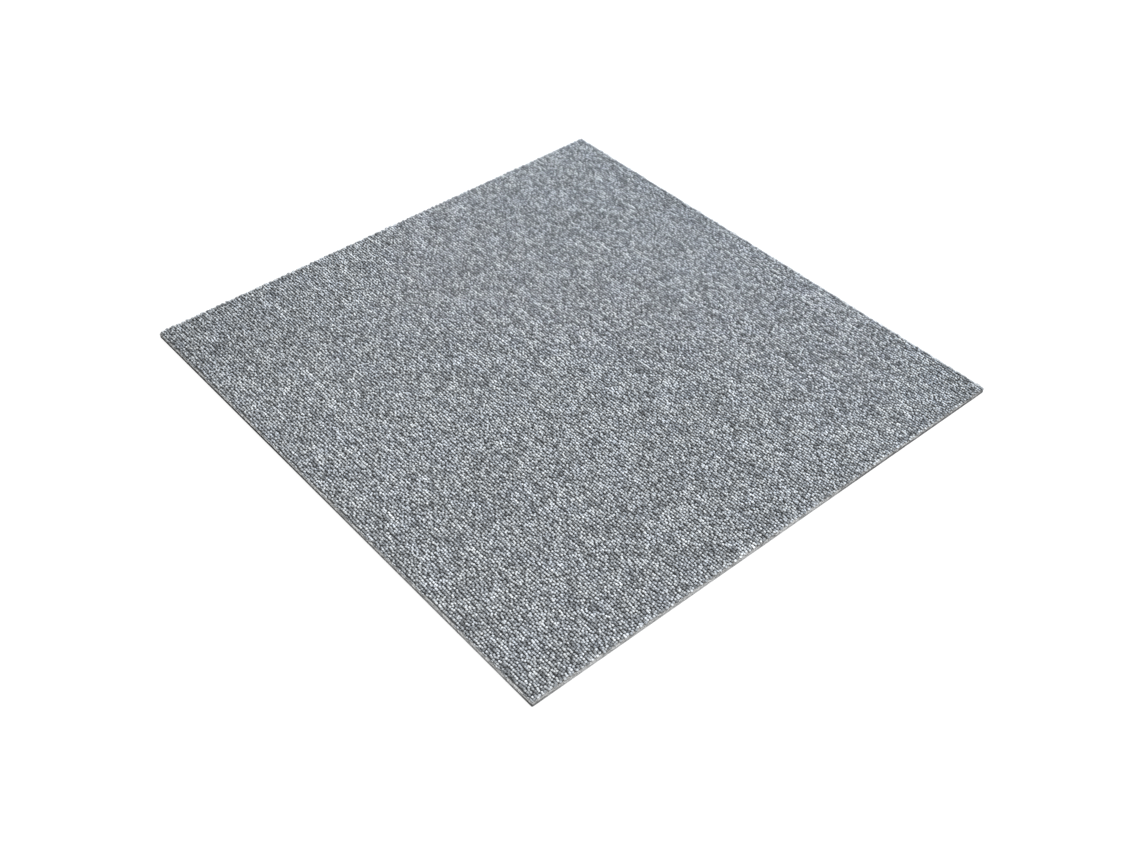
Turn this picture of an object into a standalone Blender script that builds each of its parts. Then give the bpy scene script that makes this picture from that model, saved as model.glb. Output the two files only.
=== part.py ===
"""Loop-pile carpet tile: a slab of pile over a primary backing cloth over a dark bitumen backing.

The tile lies flat. Its origin is the middle of its underside, with +Z up, and the tufted rows run along Y.
"""
import bpy

# Driving dimensions, in metres
TILE_SIDE = 0.500
BACKING_THICKNESS = 0.0018
CLOTH_THICKNESS = 0.0012
PILE_HEIGHT = 0.0024

# The bond line that each layer keeps to the one below it
BOND_GAP = 0.0003

# The press cuts the backing and the cloth crisply, and the loops at the corners are pulled back a little
CUT_CORNER_RADIUS = 0.0010
PILE_CORNER_RADIUS = 0.0030
PILE_RIM_RADIUS = 0.0008
CORNER_SEGMENTS = 5
RIM_SEGMENTS = 3

# Height of each layer's underside above the floor
CLOTH_BOTTOM = BACKING_THICKNESS + BOND_GAP
PILE_BOTTOM = CLOTH_BOTTOM + CLOTH_THICKNESS + BOND_GAP


def clear_scene():
    """Remove whatever the file holds, such as the default cube."""
    for item in list(bpy.data.objects):
        bpy.data.objects.remove(item)


def make_collection(name):
    collection = bpy.data.collections.new(name)
    bpy.context.scene.collection.children.link(collection)
    return collection


def make_material(name, colour, roughness):
    material = bpy.data.materials.new(name)
    material.use_nodes = True
    shader = material.node_tree.nodes["Principled BSDF"]
    shader.inputs["Base Color"].default_value = (*colour, 1.0)
    shader.inputs["Roughness"].default_value = roughness
    shader.inputs["Metallic"].default_value = 0.0
    material.diffuse_color = (*colour, 1.0)
    return material


def round_corners(slab, radius):
    """Bevel the four upright edges, which are the ones that run along Z."""
    mesh = slab.data
    weights = mesh.attributes.new("bevel_weight_edge", "FLOAT", "EDGE")
    for edge in mesh.edges:
        start, end = (mesh.vertices[index].co for index in edge.vertices)
        upright = abs(start.z - end.z) > abs(start.x - end.x) + abs(start.y - end.y)
        weights.data[edge.index].value = 1.0 if upright else 0.0
    bevel = slab.modifiers.new("corners", "BEVEL")
    bevel.limit_method = "WEIGHT"
    bevel.width = radius
    bevel.segments = CORNER_SEGMENTS
    bevel.harden_normals = True


def round_top_rim(slab, radius):
    """Bevel the edges around the top face, where the outermost loops turn over."""
    top = max(vertex.co.z for vertex in slab.data.vertices)
    rim = slab.vertex_groups.new(name="top_rim")
    rim.add([vertex.index for vertex in slab.data.vertices if vertex.co.z == top], 1.0, "REPLACE")
    bevel = slab.modifiers.new("rim", "BEVEL")
    bevel.limit_method = "VGROUP"
    bevel.vertex_group = rim.name
    bevel.width = radius
    bevel.segments = RIM_SEGMENTS
    bevel.harden_normals = True


def make_slab(name, bottom, thickness, corner_radius, material, collection):
    """A square layer of the tile with rounded corners, standing on the height called bottom."""
    bpy.ops.mesh.primitive_cube_add(size=1.0, location=(0.0, 0.0, bottom + thickness / 2))
    slab = bpy.context.object
    slab.name = name
    slab.data.name = name
    slab.scale = (TILE_SIDE, TILE_SIDE, thickness)
    bpy.ops.object.transform_apply(location=False, rotation=False, scale=True)
    for old in list(slab.users_collection):
        old.objects.unlink(slab)
    collection.objects.link(slab)
    slab.data.materials.append(material)
    slab.data.shade_smooth()
    round_corners(slab, corner_radius)
    return slab


def make_bitumen_backing(collection):
    """The heavy dark layer that the tile lies on."""
    bitumen = make_material("bitumen", (0.022, 0.022, 0.024), 0.75)
    return make_slab("bitumen_backing", 0.0, BACKING_THICKNESS, CUT_CORNER_RADIUS, bitumen, collection)


def make_primary_backing(collection):
    """The light cloth that the yarn is tufted through, with its back stitches and latex pre-coat."""
    cloth = make_material("precoated_cloth", (0.52, 0.47, 0.39), 0.90)
    return make_slab("primary_backing", CLOTH_BOTTOM, CLOTH_THICKNESS, CUT_CORNER_RADIUS, cloth, collection)


def make_loop_pile(collection):
    """The face yarn, as one slab of the height that the loops stand to."""
    yarn = make_material("grey_yarn", (0.285, 0.309, 0.328), 0.95)
    pile = make_slab("loop_pile", PILE_BOTTOM, PILE_HEIGHT, PILE_CORNER_RADIUS, yarn, collection)
    round_top_rim(pile, PILE_RIM_RADIUS)
    return pile


clear_scene()
tile = make_collection("carpet_tile")
make_bitumen_backing(tile)
make_primary_backing(tile)
make_loop_pile(tile)
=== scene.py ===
import math

import bmesh
import bpy
from mathutils import Matrix, Vector, noise


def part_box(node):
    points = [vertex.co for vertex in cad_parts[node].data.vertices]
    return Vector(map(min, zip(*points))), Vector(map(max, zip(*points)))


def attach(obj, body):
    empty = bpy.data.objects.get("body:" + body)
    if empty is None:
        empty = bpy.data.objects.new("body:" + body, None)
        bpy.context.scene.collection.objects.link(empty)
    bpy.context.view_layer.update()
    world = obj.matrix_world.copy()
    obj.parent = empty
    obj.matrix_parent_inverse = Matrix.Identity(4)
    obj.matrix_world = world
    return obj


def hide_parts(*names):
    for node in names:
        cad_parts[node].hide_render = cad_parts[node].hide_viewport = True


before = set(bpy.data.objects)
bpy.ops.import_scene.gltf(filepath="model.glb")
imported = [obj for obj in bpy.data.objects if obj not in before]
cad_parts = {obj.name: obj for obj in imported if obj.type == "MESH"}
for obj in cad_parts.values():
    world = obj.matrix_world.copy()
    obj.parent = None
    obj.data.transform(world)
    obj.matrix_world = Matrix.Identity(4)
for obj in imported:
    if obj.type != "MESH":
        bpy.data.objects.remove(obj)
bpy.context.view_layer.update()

tileLow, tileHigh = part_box("bitumen_backing")
clothLow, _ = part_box("primary_backing")
pileLow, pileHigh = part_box("loop_pile")
tileSide = tileHigh.x - tileLow.x
mm = 0.001


# node helpers

def put(tree, kind, inputs=None, **settings):
    # one node, its settings, and its inputs by name or number as a value or as another node's output
    made = tree.nodes.new(kind)
    for name, value in settings.items():
        setattr(made, name, value)
    for name, value in (inputs or {}).items():
        if isinstance(value, bpy.types.NodeSocket):
            tree.links.new(value, made.inputs[name])
        else:
            made.inputs[name].default_value = value
    return made


def calc(tree, operation, *values, clamp=False):
    return put(tree, "ShaderNodeMath", dict(enumerate(values)), operation=operation, use_clamp=clamp).outputs[0]


def vector(tree, x=0.0, y=0.0, z=0.0):
    return put(tree, "ShaderNodeCombineXYZ", {0: x, 1: y, 2: z}).outputs[0]


def noiseAt(tree, place, scale, detail=2.0, roughness=0.5):
    return put(tree, "ShaderNodeTexNoise", {
        "Vector": place, "Scale": scale, "Detail": detail, "Roughness": roughness}).outputs[0]


def swell(tree, place, scale, gain, detail=2.0, roughness=0.5):
    # noise about 0, this many times as strong
    made = noiseAt(tree, place, scale, detail, roughness)
    return calc(tree, "MULTIPLY", calc(tree, "SUBTRACT", made, 0.5), gain)


def between(tree, value, start, end, low=0.0, high=1.0):
    # low up to start, high from end on, and a straight change between them
    return put(tree, "ShaderNodeMapRange", {
        "Value": value, "From Min": start, "From Max": end, "To Min": low, "To Max": high}).outputs[0]


def vectorCalc(tree, operation, *values):
    return put(tree, "ShaderNodeVectorMath", dict(enumerate(values)), operation=operation)


def mixed(tree, factor, first, second, blend="MIX"):
    return put(tree, "ShaderNodeMix", {"Factor": factor, 6: first, 7: second}, data_type="RGBA",
               blend_type=blend).outputs[2]


def picker(tree, seed, number):
    # gives a random value for each numbered point, from a series of its own for each salt
    def pick(least, most, salt):
        return put(tree, "FunctionNodeRandomValue", {
            2: least, 3: most, "ID": number, "Seed": calc(tree, "ADD", seed, float(salt))},
            data_type="FLOAT").outputs[1]
    return pick


def stored(tree, points, name, value, kind="FLOAT"):
    return put(tree, "GeometryNodeStoreNamedAttribute", {0: points, "Name": name, "Value": value},
               data_type=kind, domain="POINT").outputs[0]


def bumped(tree, shader, strength, depth, height, **more):
    made = put(tree, "ShaderNodeBump", {"Strength": strength, "Distance": depth, "Height": height, **more})
    tree.links.new(made.outputs[0], shader.inputs["Normal"])


def newTree(name, inputs):
    # a Geometry Nodes tree with named inputs, its input node, and each input's identifier
    tree = bpy.data.node_groups.new(name, "GeometryNodeTree")
    identifiers = {}
    for label, kind in inputs.items():
        socket = tree.interface.new_socket(label, in_out="INPUT", socket_type="NodeSocket" + kind)
        identifiers[label] = socket.identifier
    tree.interface.new_socket("Mesh", in_out="OUTPUT", socket_type="NodeSocketGeometry")
    return tree, tree.nodes.new("NodeGroupInput"), identifiers


def closeTree(tree, geometry, material):
    # every tree ends in real faces with their material on
    realized = put(tree, "GeometryNodeRealizeInstances", {0: geometry}).outputs[0]
    smooth = put(tree, "GeometryNodeSetShadeSmooth", {0: realized}).outputs[0]
    coloured = put(tree, "GeometryNodeSetMaterial", {0: smooth, "Material": material}).outputs[0]
    tree.links.new(coloured, tree.nodes.new("NodeGroupOutput").inputs[0])


def grow(name, tree, identifiers, values):
    # runs a tree with these input values and keeps its result as a plain mesh
    carrier = bpy.data.objects.new(name + "Maker", bpy.data.meshes.new(name + "Maker"))
    bpy.context.scene.collection.objects.link(carrier)
    modifier = carrier.modifiers.new("maker", "NODES")
    modifier.node_group = tree
    for label, value in values.items():
        modifier[identifiers[label]] = value
    evaluated = carrier.evaluated_get(bpy.context.evaluated_depsgraph_get())
    mesh = bpy.data.meshes.new_from_object(evaluated)
    carrier.modifiers.remove(modifier)
    bpy.data.objects.remove(carrier)
    mesh.name = name
    return addObject(name, mesh)


def addObject(name, mesh):
    made = bpy.data.objects.new(name, mesh)
    bpy.context.scene.collection.objects.link(made)
    return made


def triangleCount(mesh):
    return sum(len(face.vertices) - 2 for face in mesh.polygons)


def finishPiece(piece, slotName, *nodes):
    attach(piece, "root")
    if nodes:
        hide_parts(*nodes)
    print(piece.name, triangleCount(piece.data), "triangles")


# studio: a floor that renders white, a pale sky all round, a soft window light beyond the right corner,
# a weak blue light beyond the side behind it and a weak white one by the camera

studio = {
    "floorSize": 12.0,
    "floorGap": 0.1 * mm,
    "floorColour": (0.12, 0.12, 0.12, 1.0),
    "floorGlow": 0.85,
    "skyStrength": 1.44,
    "skyColour": (0.985, 0.997, 1.0, 1.0),
    "lamps": (
        {"name": "windowLight", "place": (2.2, -2.4, 3.0), "size": 2.6, "power": 138.0,
         "colour": (0.98, 0.99, 1.0)},
        {"name": "blueLight", "place": (0.78, 0.06, 0.55), "size": 0.5, "power": 3.5,
         "colour": (0.16, 0.55, 1.0)},
        {"name": "nearLight", "place": (-0.60, -0.55, 0.45), "size": 0.4, "power": 1.1,
         "colour": (1.0, 0.99, 0.98)},
    ),
}


def makeStudio():
    scene = bpy.context.scene
    bpy.ops.mesh.primitive_plane_add(size=studio["floorSize"], location=(0, 0, tileLow.z - studio["floorGap"]))
    floor = bpy.context.object
    floor.name = "floor"
    paint = bpy.data.materials.new("floorPaint")
    paint.use_nodes = True
    shader = paint.node_tree.nodes["Principled BSDF"]
    shader.inputs["Base Color"].default_value = studio["floorColour"]
    shader.inputs["Roughness"].default_value = 1.0
    shader.inputs["Emission Color"].default_value = (1.0, 1.0, 1.0, 1.0)
    shader.inputs["Emission Strength"].default_value = studio["floorGlow"]
    floor.data.materials.append(paint)
    world = bpy.data.worlds.new("paleSky")
    world.use_nodes = True
    sky = world.node_tree.nodes["Background"]
    sky.inputs["Color"].default_value = studio["skyColour"]
    sky.inputs["Strength"].default_value = studio["skyStrength"]
    scene.world = world
    for wanted in studio["lamps"]:
        lamp = bpy.data.lights.new(wanted["name"], "AREA")
        lamp.size = wanted["size"]
        lamp.energy = wanted["power"]
        lamp.color = wanted["colour"]
        hung = bpy.data.objects.new(wanted["name"], lamp)
        hung.location = wanted["place"]
        hung.rotation_euler = (-hung.location).to_track_quat("-Z", "Y").to_euler()
        scene.collection.objects.link(hung)
    scene.view_settings.view_transform = "Standard"
    scene.view_settings.look = "None"


# the photo's camera, fitted to the tile's outline in a 1140 x 855 frame: the shift goes with a square tile,
# since the outline alone can't tell a shifted lens from a tile that isn't quite square

lens = {
    "place": (-0.6173, -0.6426, 0.7743),
    "turn": 38.951,
    "down": 43.743,
    "roll": -0.129,
    "focalLength": 43.244,
    "shiftX": 0.0844,
}


def makeCamera():
    data = bpy.data.cameras.new("photoCamera")
    data.sensor_width = 36.0
    data.lens = lens["focalLength"]
    data.shift_x = lens["shiftX"]
    data.clip_start = 0.01
    camera = bpy.data.objects.new("photoCamera", data)
    turned = Matrix.Rotation(-math.radians(lens["turn"]), 4, "Z")
    tipped = Matrix.Rotation(math.radians(90 - lens["down"]), 4, "X")
    rolled = Matrix.Rotation(math.radians(lens["roll"]), 4, "Z")
    camera.matrix_world = Matrix.Translation(lens["place"]) @ turned @ tipped @ rolled
    bpy.context.scene.collection.objects.link(camera)
    bpy.context.scene.camera = camera


# loop pile: rows of closed loops on the gauge, each row half a stitch off the next

pile = {
    "gauge": 2.54 * mm,
    "stitch": 2.12 * mm,
    "bands": 5,
    "loopWidth": 2.30 * mm,
    "loopLength": 2.25 * mm,
    "loopFoot": pileLow.z - 0.2 * mm,
    "loopHeight": pileHigh.z - pileLow.z + 0.1 * mm,
    "shoulderDrop": 0.70 * mm,
    "endDrop": 1.05 * mm,
    "crestShare": 0.45,
    "ringShare": 0.44,
    "footShare": 0.60,
    "rowShift": -1.0 * mm,
    "rowWander": 0.62 * mm,
    "slip": 0.30 * mm,
    "slipAcross": 0.46 * mm,
    "heightSpread": 0.26 * mm,
    "turnSpread": 0.32,
    "leanSpread": 0.20,
    "sizeSpread": 0.14,
    "cornerRadius": 3.4 * mm,
    "nearCornerRadius": 1.2 * mm,
    "cornerMargin": 0.35 * mm,
    "edgeInset": 0.70 * mm,
    "cutRowInset": 0.45 * mm,
    "cutRowWidth": 0.60,
    "cutRowLoss": 0.20,
    "edgeWave": 0.35 * mm,
    "waveSize": (26.0 * mm, 26.0 * mm),
    "endWiden": 0.30,
    "endFrom": 2.2 * mm,
    "endTo": 1.2 * mm,
    "wanderSize": (30.0 * mm, 22.0 * mm),
    "lossSize": (9.0 * mm, 9.0 * mm),
    "lossSpread": 0.8,
    "tallSpread": 0.6,
    "nearCornerShare": 0.9,
    "noiseGain": 3.2,
    "rowStep": 7.31,
    "seed": 11,
}
pile["rows"] = round(tileSide / pile["gauge"])
pile["stitches"] = round(tileSide / pile["stitch"])

# how much each kind of unevenness adds to a loop's shade, from 0 for the darkest yarn to 1 for the lightest
melange = {
    "middle": 0.56,
    "streak": 0.41,
    "streakLength": 14.0 * mm,
    "accent": 0.9,
    "accentFrom": 0.42,
    "accentLength": 22.0 * mm,
    "loop": 0.54,
    "mottle": 0.04,
    "mottleSize": (12.0 * mm, 19.2 * mm),
    "cloud": 0.03,
    "cloudSize": (70.0 * mm, 70.0 * mm),
}

# the right corner is soiled, and the left one has painted shade: a little darker over a wide part
soilAndShade = {
    "spots": (
        {"corner": (1, -1), "from": 10.0 * mm, "to": 30.0 * mm, "most": 0.16},
        # painted shade over a wide part round the left corner
        {"corner": (-1, 1), "from": 0.0, "to": 170.0 * mm, "most": 0.10},
    ),
    "onCloth": 2.4,
}


def soilAndShadeNode(tree, x, y):
    # how much shade the soil and the painted shade take away at a place
    taken = 0.0
    for spot in soilAndShade["spots"]:
        away = vector(tree, calc(tree, "SUBTRACT", x, spot["corner"][0] * tileSide / 2),
                      calc(tree, "SUBTRACT", y, spot["corner"][1] * tileSide / 2))
        away = vectorCalc(tree, "LENGTH", away).outputs["Value"]
        taken = calc(tree, "ADD", taken, between(tree, away, spot["from"], spot["to"], spot["most"], 0.0))
    return taken


def soiledAndShaded(tree, part, colour):
    # a material's colour with the soil and the painted shade on it, from the separated Object coordinates
    taken = calc(tree, "MULTIPLY", soilAndShadeNode(tree, part.outputs[0], part.outputs[1]), soilAndShade["onCloth"])
    return mixed(tree, 1.0, colour, calc(tree, "SUBTRACT", 1.0, taken, clamp=True), "MULTIPLY")


# yarn: matt heather grey, each loop with its own shade, two plies twisted together, fine filaments

yarn = {
    "darkest": (0.024, 0.027, 0.030, 1.0),
    "dark": (0.104, 0.111, 0.117, 1.0),
    "middle": (0.268, 0.281, 0.291, 1.0),
    "light": (0.510, 0.527, 0.536, 1.0),
    "lightest": (0.715, 0.726, 0.728, 1.0),
    "tint": (0.959, 0.976, 1.027, 1.0),
    "tintSize": 16.0 * mm,
    "tintFrom": 0.4,
    "tintGain": 3.0,
    "darkAt": 0.28,
    "middleAt": 0.52,
    "lightAt": 0.80,
    "plyPitch": 1.1 * mm,
    "plySlant": 0.8,
    "plyShade": 0.15,
    "plyRelief": 0.5,
    "fuzz": 0.16 * mm,
    "fuzzShade": 0.16,
    "fuzzRelief": 1.4,
    "filament": 0.21 * mm,
    "filamentShade": 0.05,
    "filamentSlant": 0.40,
    "filamentWander": 2.5,
    "filamentWanderSize": 0.7 * mm,
    "filamentRelief": 0.28,
    "bumpStrength": 0.7,
    "bumpDepth": 0.12 * mm,
    "roundHeight": 1.1 * mm,
    "roundShare": 0.75,
    "depthDark": 0.30,
    "depthReach": 0.6 * mm,
    "flankDark": 0.24,
    "flankFrom": 0.30,
    "endDark": 0.42,
    "endFrom": 0.55,
    "rimLight": 0.06,
    "rimFrom": 1.9 * mm,
    "rimTo": 0.6 * mm,
}


def newMaterial(name, roughness, sheen=0.0, specular=0.25):
    made = bpy.data.materials.new(name)
    made.use_nodes = True
    shader = made.node_tree.nodes["Principled BSDF"]
    shader.inputs["Roughness"].default_value = roughness
    shader.inputs["Specular IOR Level"].default_value = specular
    shader.inputs["Sheen Weight"].default_value = sheen
    shader.inputs["Sheen Roughness"].default_value = 0.6
    return made, made.node_tree, shader


def ramp(tree, factor, stops):
    made = put(tree, "ShaderNodeValToRGB", {0: factor})
    points = made.color_ramp.elements
    while len(points) < len(stops):
        points.new(0.5)
    for point, (position, colour) in zip(points, stops):
        point.position = position
        point.color = colour
    return made.outputs[0]


def rimMask(tree, place, start, end):
    # rises from 0 to 1 between two distances in from the tile's sides
    part = put(tree, "ShaderNodeSeparateXYZ", {0: place})
    out = calc(tree, "MAXIMUM", calc(tree, "ABSOLUTE", part.outputs[0]), calc(tree, "ABSOLUTE", part.outputs[1]))
    return between(tree, out, tileSide / 2 - start, tileSide / 2 - end)


def makeYarnMaterial():
    made, tree, shader = newMaterial("heatherYarn", roughness=0.92, sheen=0.25)
    shade = put(tree, "ShaderNodeAttribute", attribute_name="shade").outputs["Fac"]
    inLoop = put(tree, "ShaderNodeAttribute", attribute_name="inLoop").outputs["Vector"]
    objectPlace = put(tree, "ShaderNodeTexCoord").outputs["Object"]
    part = put(tree, "ShaderNodeSeparateXYZ", {0: inLoop})
    height = put(tree, "ShaderNodeSeparateXYZ", {0: objectPlace}).outputs[2]
    # the plies cross each loop as slanting bands
    slant = calc(tree, "ADD", part.outputs[1], calc(tree, "MULTIPLY", part.outputs[0], yarn["plySlant"]))
    ply = calc(tree, "SINE", calc(tree, "MULTIPLY", slant, 2 * math.pi / yarn["plyPitch"]))
    fuzz = swell(tree, objectPlace, 1 / yarn["fuzz"], 1.0, detail=3.0, roughness=0.65)
    # the filaments run along the loop, a little askew and never quite straight
    across = calc(tree, "ADD", part.outputs[0], calc(tree, "MULTIPLY", part.outputs[1], yarn["filamentSlant"]))
    across = calc(tree, "DIVIDE", across, yarn["filament"])
    bends = noiseAt(tree, objectPlace, 1 / yarn["filamentWanderSize"])
    across = calc(tree, "ADD", across, calc(tree, "MULTIPLY", bends, yarn["filamentWander"]))
    filament = calc(tree, "SINE", calc(tree, "MULTIPLY", across, 2 * math.pi))
    tone = calc(tree, "ADD", shade, calc(tree, "MULTIPLY", ply, yarn["plyShade"]))
    tone = calc(tree, "ADD", tone, calc(tree, "MULTIPLY", filament, yarn["filamentShade"]))
    tone = calc(tree, "ADD", tone, calc(tree, "MULTIPLY", fuzz, yarn["fuzzShade"]), clamp=True)
    colour = ramp(tree, tone, (
        (0.0, yarn["darkest"]), (yarn["darkAt"], yarn["dark"]), (yarn["middleAt"], yarn["middle"]),
        (yarn["lightAt"], yarn["light"]), (1.0, yarn["lightest"])))
    # little light reaches the foot of a loop
    lit = put(tree, "ShaderNodeMapRange", {
        "Value": height, "From Min": pileLow.z, "From Max": pileHigh.z - yarn["depthReach"],
        "To Min": yarn["depthDark"], "To Max": 1.0}, interpolation_type="SMOOTHSTEP").outputs[0]
    # nor its flanks, between the rows, nor its ends, between the stitches
    for axis, half, kind in ((0, pile["loopWidth"] / 2, "flank"), (1, pile["loopLength"] / 2, "end")):
        out = calc(tree, "ABSOLUTE", part.outputs[axis])
        shaded = between(tree, out, half * yarn[kind + "From"], half, 1.0, yarn[kind + "Dark"])
        lit = calc(tree, "MULTIPLY", lit, shaded)
    # but the outermost loops stand in the open
    atRim = rimMask(tree, objectPlace, yarn["rimFrom"], yarn["rimTo"])
    atRim = calc(tree, "MULTIPLY", atRim, yarn["rimLight"])
    lit = calc(tree, "ADD", lit, calc(tree, "MULTIPLY", calc(tree, "SUBTRACT", 1.0, lit), atRim))
    blue = calc(tree, "SUBTRACT", noiseAt(tree, objectPlace, 1 / yarn["tintSize"]), yarn["tintFrom"])
    blue = calc(tree, "MULTIPLY", blue, yarn["tintGain"], clamp=True)
    colour = mixed(tree, blue, colour, yarn["tint"], "MULTIPLY")
    tree.links.new(mixed(tree, 1.0, colour, lit, "MULTIPLY"), shader.inputs["Base Color"])
    relief = calc(tree, "ADD", calc(tree, "MULTIPLY", ply, yarn["plyRelief"]),
                  calc(tree, "MULTIPLY", fuzz, yarn["fuzzRelief"]))
    relief = calc(tree, "ADD", relief, calc(tree, "MULTIPLY", filament, yarn["filamentRelief"]))
    # each loop is shaded as a round knuckle about its own middle
    seat = put(tree, "ShaderNodeAttribute", attribute_name="seat").outputs["Vector"]
    middle = vectorCalc(tree, "ADD", seat, (0.0, 0.0, pile["loopHeight"] - yarn["roundHeight"])).outputs[0]
    knuckle = (pile["loopWidth"] / 2, pile["loopLength"] / 2, yarn["roundHeight"])
    outwards = vectorCalc(tree, "SUBTRACT", objectPlace, middle).outputs[0]
    outwards = vectorCalc(tree, "MULTIPLY", outwards, [(mm / half) ** 2 for half in knuckle]).outputs[0]
    outwards = vectorCalc(tree, "NORMALIZE", outwards).outputs[0]
    facing = put(tree, "ShaderNodeNewGeometry").outputs["Normal"]
    rounded = put(tree, "ShaderNodeMix", {"Factor": yarn["roundShare"], 4: facing, 5: outwards},
                  data_type="VECTOR").outputs[1]
    rounded = vectorCalc(tree, "NORMALIZE", rounded).outputs[0]
    bumped(tree, shader, yarn["bumpStrength"], yarn["bumpDepth"], relief, Normal=rounded)
    return made


def makeLoopShape():
    # a knuckle of yarn with a crest along the row, eight shoulders all round and a narrow foot
    halfWidth = pile["loopWidth"] / 2
    halfLength = pile["loopLength"] / 2
    height = pile["loopHeight"]
    form = bmesh.new()
    for end in (-1, 1):
        form.verts.new((0, end * halfLength * pile["crestShare"], height))
        form.verts.new((0, end * halfLength * pile["footShare"], 0))
        for side in (-1, 1):
            form.verts.new((side * halfWidth, end * halfLength * pile["ringShare"], height - pile["shoulderDrop"]))
            form.verts.new((side * halfWidth * pile["ringShare"], end * halfLength, height - pile["endDrop"]))
    bmesh.ops.convex_hull(form, input=form.verts)
    bmesh.ops.triangulate(form, faces=form.faces)
    bmesh.ops.recalc_face_normals(form, faces=form.faces)
    mesh = bpy.data.meshes.new("loopShape")
    form.to_mesh(mesh)
    form.free()
    local = mesh.attributes.new("inLoop", "FLOAT_VECTOR", "POINT")
    for index, point in enumerate(mesh.vertices):
        local.data[index].vector = point.co
    return addObject("loopShape", mesh)


def makePileTree():
    tree, given, identifiers = newTree("pileRows", {
        "First row": "Int", "Row count": "Int", "Rows": "Int", "Stitches": "Int", "Side": "Float",
        "Foot": "Float", "Row shift": "Float", "Row wander": "Float", "Slip": "Float", "Slip across": "Float",
        "Cut row inset": "Float", "Cut row width": "Float", "Cut row loss": "Float", "Height spread": "Float",
        "Turn spread": "Float", "Lean spread": "Float", "Size spread": "Float", "Corner radius": "Float",
        "Near corner radius": "Float", "Edge inset": "Float", "Edge wave": "Float", "End widen": "Float",
        "Seed": "Int", "Loop": "Object", "Yarn": "Material"})
    ask = given.outputs
    side = ask["Side"]
    half = calc(tree, "MULTIPLY", side, 0.5)
    rowPitch = calc(tree, "DIVIDE", side, ask["Rows"])
    stitchPitch = calc(tree, "DIVIDE", side, ask["Stitches"])
    number = put(tree, "GeometryNodeInputIndex").outputs[0]
    row = calc(tree, "ADD", calc(tree, "FLOOR", calc(tree, "DIVIDE", number, ask["Stitches"])), ask["First row"])
    stitch = calc(tree, "MODULO", number, ask["Stitches"])
    loopId = calc(tree, "ADD", calc(tree, "MULTIPLY", row, ask["Stitches"]), stitch)
    stagger = calc(tree, "SUBTRACT", calc(tree, "MULTIPLY", calc(tree, "MODULO", row, 2.0), 0.5), 0.25)
    x = calc(tree, "SUBTRACT", calc(tree, "MULTIPLY", calc(tree, "ADD", row, 0.5), rowPitch), half)
    x = calc(tree, "ADD", x, ask["Row shift"])
    along = calc(tree, "ADD", calc(tree, "ADD", stitch, 0.5), stagger)
    y = calc(tree, "SUBTRACT", calc(tree, "MULTIPLY", along, stitchPitch), half)

    pick = picker(tree, ask["Seed"], loopId)

    def spreadBy(amount, salt):
        return calc(tree, "MULTIPLY", pick(-1.0, 1.0, salt), amount)

    def smoothly(sizeX, sizeY, salt):
        # a slow change over the tile, about -1 to 1, with its own size along and across the rows
        at = vector(tree, calc(tree, "DIVIDE", x, sizeX), calc(tree, "DIVIDE", y, sizeY), float(salt))
        return swell(tree, at, 1.0, pile["noiseGain"], detail=1.0)

    def alongRow(length, salt):
        # a change that runs along one row and starts afresh in the next
        at = vector(tree, calc(tree, "MULTIPLY", row, pile["rowStep"]), calc(tree, "DIVIDE", y, length),
                    float(salt))
        return swell(tree, at, 1.0, pile["noiseGain"], detail=1.0)

    wander = calc(tree, "MULTIPLY", smoothly(*pile["wanderSize"], 3.0), ask["Row wander"])
    xMoved = calc(tree, "ADD", calc(tree, "ADD", x, wander), spreadBy(ask["Slip across"], 1))
    yMoved = calc(tree, "ADD", y, spreadBy(ask["Slip"], 2))
    # the press cuts every row end to one line, which only wavers a little
    brim = calc(tree, "SUBTRACT", half, ask["Edge inset"])
    brim = calc(tree, "ADD", brim, calc(tree, "MULTIPLY", smoothly(*pile["waveSize"], 4.0), ask["Edge wave"]))
    back = calc(tree, "MULTIPLY", brim, -1.0)
    # it went through the first row, whose loops are cut narrow and partly gone
    isCut = calc(tree, "LESS_THAN", row, 0.5)
    insetChange = calc(tree, "SUBTRACT", ask["Cut row inset"], ask["Edge inset"])
    cutBack = calc(tree, "ADD", back, calc(tree, "MULTIPLY", isCut, insetChange))
    xMoved = calc(tree, "MAXIMUM", calc(tree, "MINIMUM", xMoved, brim), cutBack)
    xMoved = calc(tree, "ADD", xMoved, calc(tree, "MULTIPLY", isCut, calc(tree, "SUBTRACT", cutBack, xMoved)))
    yMoved = calc(tree, "MAXIMUM", calc(tree, "MINIMUM", yMoved, brim), back)
    luck = calc(tree, "ADD", smoothly(*pile["lossSize"], 17.0), spreadBy(pile["lossSpread"], 18))
    luck = calc(tree, "MULTIPLY", luck, 0.5)
    gone = calc(tree, "GREATER_THAN", luck, calc(tree, "SUBTRACT", 0.5, ask["Cut row loss"]))
    gone = calc(tree, "MULTIPLY", isCut, gone)
    # the corner nearest the camera has nearly all its loops, and the others have lost their outermost ones
    nearLimit = calc(tree, "MULTIPLY", side, -pile["nearCornerShare"])
    isNear = calc(tree, "LESS_THAN", calc(tree, "ADD", x, y), nearLimit)
    radiusChange = calc(tree, "SUBTRACT", ask["Near corner radius"], ask["Corner radius"])
    radius = calc(tree, "MULTIPLY", isNear, radiusChange)
    radius = calc(tree, "ADD", radius, ask["Corner radius"])
    pastX = calc(tree, "SUBTRACT", calc(tree, "ABSOLUTE", xMoved), calc(tree, "SUBTRACT", half, radius))
    pastY = calc(tree, "SUBTRACT", calc(tree, "ABSOLUTE", yMoved), calc(tree, "SUBTRACT", half, radius))
    past = vector(tree, calc(tree, "MAXIMUM", pastX, 0.0), calc(tree, "MAXIMUM", pastY, 0.0))
    past = vectorCalc(tree, "LENGTH", past).outputs["Value"]
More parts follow.
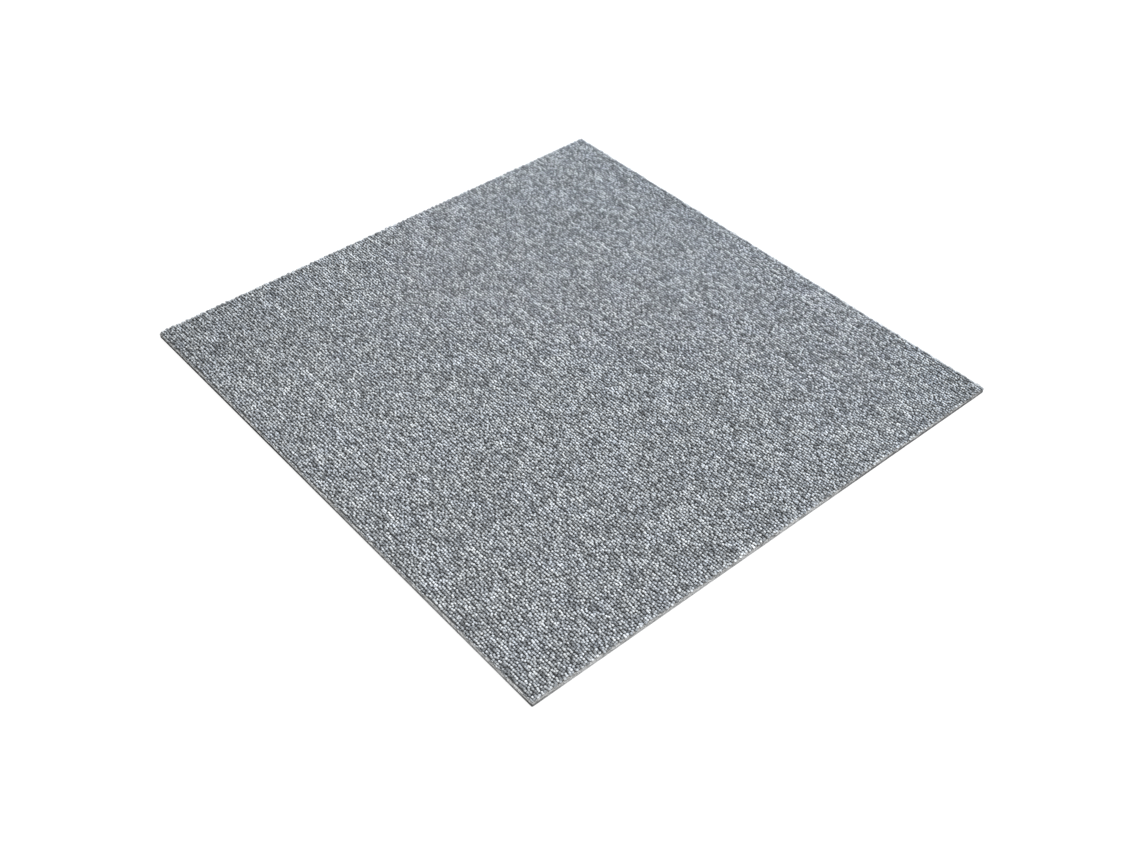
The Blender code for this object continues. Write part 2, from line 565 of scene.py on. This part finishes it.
    # a loop that is gone counts as one that lies a metre past its corner
    past = calc(tree, "ADD", past, gone)
    inside = put(tree, "FunctionNodeCompare", {0: past, 1: calc(tree, "SUBTRACT", radius, pile["cornerMargin"])},
                 data_type="FLOAT", operation="LESS_THAN").outputs[0]
    lift = calc(tree, "ADD", ask["Foot"], spreadBy(ask["Height spread"], 3))
    count = calc(tree, "MULTIPLY", ask["Row count"], ask["Stitches"])
    points = put(tree, "GeometryNodePoints", {
        "Count": count, "Position": vector(tree, xMoved, yMoved, lift)}).outputs[0]

    # each loop's shade is stored on its point, before the instances leave out the loops that are gone
    streak = alongRow(melange["streakLength"], 5)
    shade = calc(tree, "ADD", melange["middle"], calc(tree, "MULTIPLY", streak, melange["streak"] / 2))
    shade = calc(tree, "ADD", shade, spreadBy(melange["loop"] / 2, 6))
    accent = calc(tree, "SUBTRACT", alongRow(melange["accentLength"], 31), melange["accentFrom"])
    shade = calc(tree, "ADD", shade, calc(tree, "MULTIPLY", calc(tree, "MAXIMUM", accent, 0.0), melange["accent"]))
    for kind, salt in (("mottle", 7.0), ("cloud", 9.0)):
        wave = smoothly(*melange[kind + "Size"], salt)
        shade = calc(tree, "ADD", shade, calc(tree, "MULTIPLY", wave, melange[kind] / 2))
    # the loops are darker at the soiled right corner and, as painted shade, round the left corner
    shade = calc(tree, "SUBTRACT", shade, soilAndShadeNode(tree, x, y))
    points = stored(tree, points, "shade", shade)
    # and its place, because its material shades it about its own middle
    points = stored(tree, points, "seat", put(tree, "GeometryNodeInputPosition").outputs[0], "FLOAT_VECTOR")

    # a cut row end opens out and meets its neighbours
    atEnd = between(tree, calc(tree, "ABSOLUTE", yMoved), calc(tree, "SUBTRACT", half, pile["endFrom"]),
                    calc(tree, "SUBTRACT", half, pile["endTo"]))
    wide = calc(tree, "ADD", 1.0, spreadBy(ask["Size spread"], 10))
    wide = calc(tree, "ADD", wide, calc(tree, "MULTIPLY", atEnd, ask["End widen"]))
    narrow = calc(tree, "MULTIPLY", isCut, calc(tree, "SUBTRACT", 1.0, ask["Cut row width"]))
    wide = calc(tree, "MULTIPLY", wide, calc(tree, "SUBTRACT", 1.0, narrow))
    long = calc(tree, "ADD", 1.0, spreadBy(ask["Size spread"], 11))
    tall = calc(tree, "ADD", 1.0, spreadBy(calc(tree, "MULTIPLY", ask["Size spread"], pile["tallSpread"]), 12))
    turn = vector(tree, spreadBy(ask["Lean spread"], 13), spreadBy(ask["Lean spread"], 14),
                  spreadBy(ask["Turn spread"], 15))
    shape = put(tree, "GeometryNodeObjectInfo", {"Object": ask["Loop"]}).outputs["Geometry"]
    placed = put(tree, "GeometryNodeInstanceOnPoints", {
        "Points": points, "Selection": inside, "Instance": shape, "Rotation": turn,
        "Scale": vector(tree, wide, long, tall)}).outputs[0]
    closeTree(tree, placed, ask["Yarn"])
    return tree, identifiers


def makePile(material):
    shape = makeLoopShape()
    tree, identifiers = makePileTree()
    bands = []
    start = 0
    for band in range(pile["bands"]):
        end = round(pile["rows"] * (band + 1) / pile["bands"])
        piece = grow("pile_rows_%d" % (band + 1), tree, identifiers, {
            "First row": start, "Row count": end - start, "Rows": pile["rows"], "Stitches": pile["stitches"],
            "Side": tileSide, "Foot": pile["loopFoot"], "Row shift": pile["rowShift"],
            "Row wander": pile["rowWander"], "Slip": pile["slip"], "Slip across": pile["slipAcross"],
            "Cut row inset": pile["cutRowInset"], "Cut row width": pile["cutRowWidth"],
            "Cut row loss": pile["cutRowLoss"], "Height spread": pile["heightSpread"],
            "Turn spread": pile["turnSpread"], "Lean spread": pile["leanSpread"],
            "Size spread": pile["sizeSpread"],
            "Corner radius": pile["cornerRadius"], "Near corner radius": pile["nearCornerRadius"],
            "Edge inset": pile["edgeInset"], "Edge wave": pile["edgeWave"], "End widen": pile["endWiden"],
            "Seed": pile["seed"], "Loop": shape, "Yarn": material})
        start = end
        bands.append(piece)
    bpy.data.objects.remove(shape)
    return bands


# where the cut has dragged fibres and chalk down over the backing: most along the near half of the front
# side, fading away from the camera along the left side, and less at the corner between them

drag = {
    "sides": (
        {"out": 0, "along": 1, "from": -210 * mm, "to": 90 * mm, "most": 0.46, "least": 0.0},
        {"out": 1, "along": 0, "from": 30 * mm, "to": 90 * mm, "most": 0.66, "least": 0.20},
    ),
    "elsewhere": 0.12,
    "reach": tileSide / 2 - 0.6 * mm,
    "cleanFrom": tileSide - 34.0 * mm,
    "cleanTo": tileSide - 5.0 * mm,
    "cornerShare": 0.35,
}


def draggedAt(at):
    # less of it reached the corner nearest the camera
    nearness = (-at.x - at.y - drag["cleanFrom"]) / (drag["cleanTo"] - drag["cleanFrom"])
    kept = 1.0 - (1.0 - drag["cornerShare"]) * max(0.0, min(1.0, nearness))
    for side in drag["sides"]:
        if at[side["out"]] < -drag["reach"]:
            share = (at[side["along"]] - side["from"]) / (side["to"] - side["from"])
            share = max(0.0, min(1.0, share))
            return kept * (side["most"] + (side["least"] - side["most"]) * share)
    return kept * drag["elsewhere"]


def draggedNode(tree, part):
    # the same for a material, from the separated Object coordinates
    dragged = drag["elsewhere"]
    for side in drag["sides"]:
        onSide = calc(tree, "LESS_THAN", part.outputs[side["out"]], -drag["reach"])
        here = between(tree, part.outputs[side["along"]], side["from"], side["to"], side["most"], side["least"])
        change = calc(tree, "MULTIPLY", onSide, calc(tree, "SUBTRACT", here, dragged))
        dragged = calc(tree, "ADD", dragged, change)
    diagonal = calc(tree, "ADD", part.outputs[0], part.outputs[1])
    kept = between(tree, diagonal, -drag["cleanTo"], -drag["cleanFrom"], drag["cornerShare"], 1.0)
    return calc(tree, "MULTIPLY", dragged, kept)


# the cloth under the loops, whose edge shows as a ragged band of matted fibres that hangs over the backing

cloth = {
    "low": tileHigh.z + 0.25 * mm,
    "droop": 0.85 * mm,
    "high": pileLow.z + 0.55 * mm,
    "ragged": 0.35 * mm,
    "raggedSize": 3.4 * mm,
    "step": 1.9 * mm,
    "levels": 5,
    "recess": 0.20 * mm,
    "bulge": 0.06 * mm,
    "roughness": 0.42 * mm,
    "roughSize": 1.7 * mm,
    "cornerRadius": 1.2 * mm,
    "dark": (0.085, 0.085, 0.084, 1.0),
    "colour": (0.312, 0.312, 0.307, 1.0),
    "pale": (0.530, 0.532, 0.530, 1.0),
    "soaked": (0.022, 0.022, 0.023, 1.0),
    "soakedHigh": tileHigh.z + 1.0 * mm,
    "soakedFade": 0.25 * mm,
    "soakedRagged": 1.2 * mm,
    "coverGain": 2.0,
    "heightStretch": 1.5,
    "lump": 2.6 * mm,
    "lumpShare": 0.8,
    "fibre": 0.40 * mm,
    "fibreShare": 0.6,
    "fibreFlatten": (1.0, 1.0, 0.25),
    "contrast": 2.9,
    "offset": 1.53,
    "colourAt": 0.45,
    "rimFrom": 1.4 * mm,
    "rimTo": 0.4 * mm,
    "skin": 0.02 * mm,
    "bumpStrength": 0.8,
    "bumpDepth": 0.18 * mm,
    # painted shade on the cloth's upper face between the loops
    "shadedTopColour": (0.045, 0.047, 0.050, 1.0),
}


def outline(side, radius, step):
    # a rounded square, anticlockwise, as points with their outward directions
    half = side / 2
    straight = side - 2 * radius
    steps = max(2, round(straight / step))
    bends = max(3, round(radius * math.pi / 2 / step))
    points = []
    for quarter in range(4):
        turn = Matrix.Rotation(quarter * math.pi / 2, 2)
        for index in range(steps):
            at = turn @ Vector((half, -half + radius + straight * index / steps))
            points.append((at, turn @ Vector((1, 0))))
        for index in range(bends):
            angle = math.pi / 2 * index / bends
            out = Vector((math.cos(angle), math.sin(angle)))
            points.append((turn @ (Vector((half - radius, half - radius)) + out * radius), turn @ out))
    return points


def makeCloth(material):
    form = bmesh.new()
    points = outline(tileSide, cloth["cornerRadius"], cloth["step"])
    rings = []
    for level in range(cloth["levels"]):
        share = level / (cloth["levels"] - 1)
        ring = []
        for at, out in points:
            ragged = noise.noise(Vector((at.x, at.y, 0)) / cloth["raggedSize"]) * cloth["ragged"]
            low = cloth["low"] - cloth["droop"] * draggedAt(at) + ragged
            z = low + (cloth["high"] - low) * share
            wave = noise.noise(Vector((at.x, at.y, z * cloth["heightStretch"])) / cloth["roughSize"])
            bulge = cloth["bulge"] * math.sin(math.pi * share) - cloth["recess"]
            moved = at + out * (wave * cloth["roughness"] + bulge)
            ring.append(form.verts.new((moved.x, moved.y, z)))
        rings.append(ring)
    for below, above in zip(rings, rings[1:]):
        for index in range(len(below)):
            after = (index + 1) % len(below)
            face = form.faces.new((below[index], below[after], above[after], above[index]))
            face.smooth = True
    form.faces.new(reversed(rings[0]))
    form.faces.new(rings[-1])
    mesh = bpy.data.meshes.new("primary_cloth")
    form.to_mesh(mesh)
    form.free()
    mesh.materials.append(material)
    return addObject("primary_cloth", mesh)


def makeClothMaterial():
    made, tree, shader = newMaterial("precoatedCloth", roughness=0.95, sheen=0.15)
    place = put(tree, "ShaderNodeTexCoord").outputs["Object"]
    part = put(tree, "ShaderNodeSeparateXYZ", {0: place})
    height = part.outputs[2]
    # lumps of matted yarn, and fibres that hang down its edge
    lump = noiseAt(tree, place, 1 / cloth["lump"], detail=3.0, roughness=0.6)
    upright = vectorCalc(tree, "MULTIPLY", place, cloth["fibreFlatten"]).outputs[0]
    fibre = noiseAt(tree, upright, 1 / cloth["fibre"], detail=3.0, roughness=0.6)
    tone = calc(tree, "ADD", calc(tree, "MULTIPLY", lump, cloth["lumpShare"]),
                calc(tree, "MULTIPLY", fibre, cloth["fibreShare"]))
    tone = calc(tree, "SUBTRACT", calc(tree, "MULTIPLY", tone, cloth["contrast"]), cloth["offset"], clamp=True)
    colour = ramp(tree, tone, ((0.0, cloth["dark"]), (cloth["colourAt"], cloth["colour"]), (1.0, cloth["pale"])))
    # its upper face gets painted shade, dark between the loops, except where it reaches the cut
    inner = calc(tree, "SUBTRACT", 1.0, rimMask(tree, place, cloth["rimFrom"], cloth["rimTo"]))
    shadedTop = calc(tree, "MULTIPLY", calc(tree, "GREATER_THAN", height, cloth["high"] - cloth["skin"]), inner)
    colour = mixed(tree, shadedTop, colour, cloth["shadedTopColour"])
    # the soiled right corner and the painted shade at the left corner darken the cloth
    colour = soiledAndShaded(tree, part, colour)
    # its foot is soaked with bitumen where the cut dragged nothing over it
    ragged = calc(tree, "MULTIPLY", calc(tree, "SUBTRACT", lump, 0.5), cloth["soakedRagged"])
    soaked = between(tree, calc(tree, "ADD", height, ragged), cloth["soakedHigh"] - cloth["soakedFade"],
                     cloth["soakedHigh"] + cloth["soakedFade"], 1.0, 0.0)
    covered = calc(tree, "MULTIPLY", draggedNode(tree, part), cloth["coverGain"])
    soaked = calc(tree, "MULTIPLY", soaked, calc(tree, "SUBTRACT", 1.0, covered, clamp=True))
    tree.links.new(mixed(tree, soaked, colour, cloth["soaked"]), shader.inputs["Base Color"])
    bumped(tree, shader, cloth["bumpStrength"], cloth["bumpDepth"], fibre)
    return made


# cut edge: the press leaves a fringe of short yarn ends that hang over the cloth, and a few long fibres

cutEdge = {
    "pitch": 2.30 * mm,
    "strands": 12,
    "width": 2.8 * mm,
    "strandRadius": 0.14 * mm,
    "strandLength": 1.60 * mm,
    "shortestStrand": 0.6,
    "leastFall": 0.60,
    "mostFall": 1.30,
    "sway": 0.60,
    "swayStep": 2.4,
    "rootStep": 4.1,
    "rootSpread": 0.45 * mm,
    "sideShare": 0.85,
    "clumpSize": 8.0 * mm,
    "leastClump": 0.75,
    "mostClump": 1.45,
    "cleanShare": 0.70,
    "fullAt": 0.40,
    "low": clothLow.z + 1.3 * mm,
    "high": pileLow.z + 1.5 * mm,
    "inset": 0.10 * mm,
    "droop": 0.15,
    "roll": 0.15,
    "cornerRadius": 1.2 * mm,
    "cornerSteps": 4,
    "yawSpread": 0.25,
    "leastTip": -0.9,
    "mostTip": 1.9,
    "jitter": 0.1 * mm,
    "sizeSpread": 0.25,
    "clumpFrom": 0.3,
    "clumpTo": 0.7,
    "colourAt": 0.4,
    "grain": 0.3 * mm,
    "grainShade": 0.5,
    "bumpStrength": 0.5,
    "bumpDepth": 0.05 * mm,
    "colour": (0.312, 0.314, 0.312, 1.0),
    "pale": (0.610, 0.612, 0.610, 1.0),
    "shadow": (0.080, 0.080, 0.080, 1.0),
    "seed": 4,
}

fibres = {
    "pitch": 8.0 * mm,
    "length": 3.0 * mm,
    "radius": 0.035 * mm,
    "bend": 0.9 * mm,
    "bendTurn": 0.8 * math.pi,
    "sag": 0.4,
    "steps": 4,
    "inset": 0.9 * mm,
    "low": tileHigh.z + 0.6 * mm,
    "high": pileHigh.z - 0.5 * mm,
    "droop": 0.5,
    "roll": math.pi,
    "seed": 23,
}


def makeFringe():
    # a strip of thin strands side by side along Y that reach out along +X and fall, each its own way
    form = bmesh.new()
    for index in range(cutEdge["strands"]):
        share = index / (cutEdge["strands"] - 1)
        fall = cutEdge["leastFall"] + (cutEdge["mostFall"] - cutEdge["leastFall"]) * (index * 5 % 7) / 6
        sway = cutEdge["sway"] * math.sin(index * cutEdge["swayStep"])
        # the remainders deal out falls and lengths in a mixed order
        shortest = cutEdge["shortestStrand"]
        length = cutEdge["strandLength"] * (shortest + (1 - shortest) * (index * 3 % 5) / 4)
        aim = Vector((math.cos(fall) * math.cos(sway), math.sin(sway), -math.sin(fall) * math.cos(sway)))
        high = cutEdge["rootSpread"] * math.sin(index * cutEdge["rootStep"])
        root = Vector((0, (share - 0.5) * cutEdge["width"], high))
        place = Matrix.Translation(root + aim * length / 2) @ aim.to_track_quat("Z", "Y").to_matrix().to_4x4()
        bmesh.ops.create_cone(form, cap_ends=True, segments=3, radius1=cutEdge["strandRadius"], radius2=0.0,
                              depth=length, matrix=place)
    bmesh.ops.remove_doubles(form, verts=form.verts, dist=0.001 * mm)
    mesh = bpy.data.meshes.new("fringeShape")
    form.to_mesh(mesh)
    form.free()
    return addObject("fringeShape", mesh)


def makeFibre():
    # one thin bent filament along +X
    line = bpy.data.curves.new("fibreShape", "CURVE")
    line.dimensions = "3D"
    spline = line.splines.new("POLY")
    steps = fibres["steps"]
    spline.points.add(steps)
    for index, point in enumerate(spline.points):
        share = index / steps
        bend = fibres["bend"] * math.sin(share * fibres["bendTurn"]) * share
        point.co = (fibres["length"] * share, bend, -bend * fibres["sag"], 1.0)
    line.bevel_depth = fibres["radius"]
    line.bevel_resolution = 0
    line.use_fill_caps = True
    drawn = bpy.data.objects.new("fibreShape", line)
    bpy.context.scene.collection.objects.link(drawn)
    mesh = bpy.data.meshes.new_from_object(drawn.evaluated_get(bpy.context.evaluated_depsgraph_get()))
    bpy.data.objects.remove(drawn)
    form = bmesh.new()
    form.from_mesh(mesh)
    bmesh.ops.remove_doubles(form, verts=form.verts, dist=fibres["radius"] / 10)
    form.to_mesh(mesh)
    form.free()
    return addObject("fibreShape", mesh)


def makeEdgeTree():
    # copies of one shape that point outwards all round the tile's rim
    tree, given, identifiers = newTree("rimPieces", {
        "Side": "Float", "Corner radius": "Float", "Pitch": "Float", "Inset": "Float", "Low": "Float",
        "High": "Float", "Droop": "Float", "Roll": "Float", "Side share": "Float", "Clump size": "Float",
        "Seed": "Int", "Shape": "Object", "Yarn": "Material"})
    ask = given.outputs
    across = calc(tree, "SUBTRACT", ask["Side"], calc(tree, "MULTIPLY", ask["Inset"], 2.0))
    square = put(tree, "GeometryNodeCurvePrimitiveQuadrilateral", {0: across, 1: across}).outputs[0]
    rounded = put(tree, "GeometryNodeFilletCurve", {0: square}, mode="POLY")
    tree.links.new(ask["Corner radius"], rounded.inputs["Radius"])
    rounded.inputs["Count"].default_value = cutEdge["cornerSteps"]
    rim = put(tree, "GeometryNodeCurveToPoints", {0: rounded.outputs[0], "Length": ask["Pitch"]}, mode="LENGTH")
    number = put(tree, "GeometryNodeInputIndex").outputs[0]
    pick = picker(tree, ask["Seed"], number)
    place = put(tree, "GeometryNodeInputPosition").outputs[0]
    part = put(tree, "ShaderNodeSeparateXYZ", {0: place})
    limit = calc(tree, "SUBTRACT", calc(tree, "MULTIPLY", across, 0.5), ask["Corner radius"])
    # outwards is away from the square that the rounded corners are struck on
    outwards = []
    for at in part.outputs[:2]:
        nearest = calc(tree, "MAXIMUM", calc(tree, "MINIMUM", at, limit), calc(tree, "MULTIPLY", limit, -1.0))
        outwards.append(calc(tree, "SUBTRACT", at, nearest))
    heading = calc(tree, "ARCTAN2", outwards[1], outwards[0])
    yaw = calc(tree, "ADD", heading, pick(-cutEdge["yawSpread"], cutEdge["yawSpread"], 1))
    # they are full size at the row ends and smaller along the row sides
    atRowEnd = calc(tree, "ABSOLUTE", calc(tree, "SINE", heading))
    share = between(tree, atRowEnd, 0.0, 1.0, ask["Side share"], 1.0)
    tip = calc(tree, "MULTIPLY", ask["Droop"], pick(cutEdge["leastTip"], cutEdge["mostTip"], 2))
    roll = calc(tree, "MULTIPLY", ask["Roll"], pick(-1.0, 1.0, 8))
    height = between(tree, pick(0.0, 1.0, 3), 0.0, 1.0, ask["Low"], ask["High"])
    aside = [pick(-cutEdge["jitter"], cutEdge["jitter"], salt) for salt in (4, 5)]
    raised = put(tree, "GeometryNodeSetPosition", {
        0: rim.outputs[0], "Offset": vector(tree, *aside, height)}).outputs[0]
    shaded = stored(tree, raised, "shade", pick(0.0, 1.0, 6))
    # they are longer and thicker in clumps
    inClumps = put(tree, "ShaderNodeVectorMath", {
        0: place, "Scale": calc(tree, "DIVIDE", 1.0, ask["Clump size"])}, operation="SCALE").outputs[0]
    clump = between(tree, noiseAt(tree, inClumps, 1.0), cutEdge["clumpFrom"], cutEdge["clumpTo"],
                    cutEdge["leastClump"], cutEdge["mostClump"])
    size = calc(tree, "MULTIPLY", calc(tree, "MULTIPLY", share, clump),
                pick(1.0 - cutEdge["sizeSpread"], 1.0 + cutEdge["sizeSpread"], 7))
    # and shorter where the cut dragged nothing down
    kept = between(tree, draggedNode(tree, part), 0.0, cutEdge["fullAt"], cutEdge["cleanShare"], 1.0)
    size = calc(tree, "MULTIPLY", size, kept)
    shape = put(tree, "GeometryNodeObjectInfo", {"Object": ask["Shape"]}).outputs["Geometry"]
    placed = put(tree, "GeometryNodeInstanceOnPoints", {
        "Points": shaded, "Instance": shape, "Rotation": vector(tree, roll, tip, yaw),
        "Scale": size}).outputs[0]
    closeTree(tree, placed, ask["Yarn"])
    return tree, identifiers


def makeCutYarnMaterial():
    made, tree, shader = newMaterial("cutYarn", roughness=0.95, sheen=0.2)
    shade = put(tree, "ShaderNodeAttribute", attribute_name="shade").outputs["Fac"]
    place = put(tree, "ShaderNodeTexCoord").outputs["Object"]
    grain = noiseAt(tree, place, 1 / cutEdge["grain"])
    uneven = calc(tree, "MULTIPLY", calc(tree, "SUBTRACT", grain, 0.5), cutEdge["grainShade"])
    colour = ramp(tree, calc(tree, "ADD", shade, uneven, clamp=True), (
        (0.0, cutEdge["shadow"]), (cutEdge["colourAt"], cutEdge["colour"]), (1.0, cutEdge["pale"])))
    # the soiled right corner and the painted shade at the left corner darken the yarn ends
    colour = soiledAndShaded(tree, put(tree, "ShaderNodeSeparateXYZ", {0: place}), colour)
    tree.links.new(colour, shader.inputs["Base Color"])
    bumped(tree, shader, cutEdge["bumpStrength"], cutEdge["bumpDepth"], grain)
    return made


def makeCutEdge(material):
    tree, identifiers = makeEdgeTree()
    made = []
    for name, look, makeShape in (("cut_yarn_ends", cutEdge, makeFringe), ("stray_fibres", fibres, makeFibre)):
        shape = makeShape()
        made.append(grow(name, tree, identifiers, {
            "Side": tileSide, "Corner radius": cutEdge["cornerRadius"], "Pitch": look["pitch"],
            "Inset": look["inset"], "Low": look["low"], "High": look["high"], "Droop": look["droop"],
            "Roll": look["roll"], "Side share": cutEdge["sideShare"], "Clump size": cutEdge["clumpSize"],
            "Seed": look["seed"], "Shape": shape, "Yarn": material}))
        bpy.data.objects.remove(shape)
    return made


# bitumen backing: near black and matt, its cut edge worn grey in part, with a fleece skin underneath

bitumen = {
    "colour": (0.012, 0.012, 0.013, 1.0),
    "speck": (0.040, 0.039, 0.038, 1.0),
    "worn": (0.340, 0.342, 0.344, 1.0),
    "fleece": (0.040, 0.041, 0.043, 1.0),
    "fleeceSize": 0.55 * mm,
    "fleeceStretch": 4.0,
    "fleeceFrom": 0.45,
    "fleeceTo": 0.70,
    "grain": 0.9 * mm,
    "speckFrom": 0.42,
    "speckTo": 0.75,
    "patch": 7.0 * mm,
    "patchSpread": 2.2,
    "grainSpread": 1.2,
    "sideFrom": 0.3 * mm,
    "sideTo": 0.1 * mm,
    "skin": 0.05 * mm,
    "bumpStrength": 0.6,
    "bumpDepth": 0.15 * mm,
}


def makeBitumenMaterial():
    made, tree, shader = newMaterial("bitumenCompound", roughness=0.85, specular=0.08)
    place = put(tree, "ShaderNodeTexCoord").outputs["Object"]
    part = put(tree, "ShaderNodeSeparateXYZ", {0: place})
    grain = noiseAt(tree, place, 1 / bitumen["grain"], detail=4.0, roughness=0.6)
    colour = ramp(tree, grain, (
        (bitumen["speckFrom"], bitumen["colour"]), (bitumen["speckTo"], bitumen["speck"])))
    # what was dragged down shows in patches on the cut side
    spread = calc(tree, "ADD",
                  swell(tree, place, 1 / bitumen["patch"], bitumen["patchSpread"], detail=3.0, roughness=0.6),
                  calc(tree, "MULTIPLY", calc(tree, "SUBTRACT", grain, 0.5), bitumen["grainSpread"]))
    wear = calc(tree, "MULTIPLY", draggedNode(tree, part), calc(tree, "ADD", 1.0, spread), clamp=True)
    atSide = calc(tree, "MULTIPLY", rimMask(tree, place, bitumen["sideFrom"], bitumen["sideTo"]),
                  calc(tree, "GREATER_THAN", part.outputs[2], bitumen["skin"]))
    colour = mixed(tree, calc(tree, "MULTIPLY", wear, atSide), colour, bitumen["worn"])
    # the fleece underneath is a felt of short crossing fibres
    under = calc(tree, "LESS_THAN", part.outputs[2], bitumen["skin"])
    times = bitumen["fleeceStretch"]
    scale = 1 / (times * bitumen["fleeceSize"])
    crossed = []
    for stretch in ((1.0, times, 1.0), (times, 1.0, 1.0)):
        along = vectorCalc(tree, "MULTIPLY", place, stretch).outputs[0]
        crossed.append(noiseAt(tree, along, scale, detail=3.0, roughness=0.7))
    felt = calc(tree, "MAXIMUM", *crossed)
    feltColour = ramp(tree, felt, (
        (bitumen["fleeceFrom"], bitumen["colour"]), (bitumen["fleeceTo"], bitumen["fleece"])))
    tree.links.new(mixed(tree, under, colour, feltColour), shader.inputs["Base Color"])
    relief = calc(tree, "ADD", calc(tree, "MULTIPLY", felt, under), grain)
    bumped(tree, shader, bitumen["bumpStrength"], bitumen["bumpDepth"], relief)
    return made


print("studio and camera")
makeStudio()
makeCamera()

print("loop pile")
yarnMaterial = makeYarnMaterial()
for piece in makePile(yarnMaterial):
    finishPiece(piece, "pile_yarn", "loop_pile")

print("primary cloth")
finishPiece(makeCloth(makeClothMaterial()), "primary_cloth", "primary_backing")

print("cut edge")
for piece in makeCutEdge(makeCutYarnMaterial()):
    finishPiece(piece, "pile_yarn")

print("bitumen backing")
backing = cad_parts["bitumen_backing"]
backing.data.materials.clear()
backing.data.materials.append(makeBitumenMaterial())
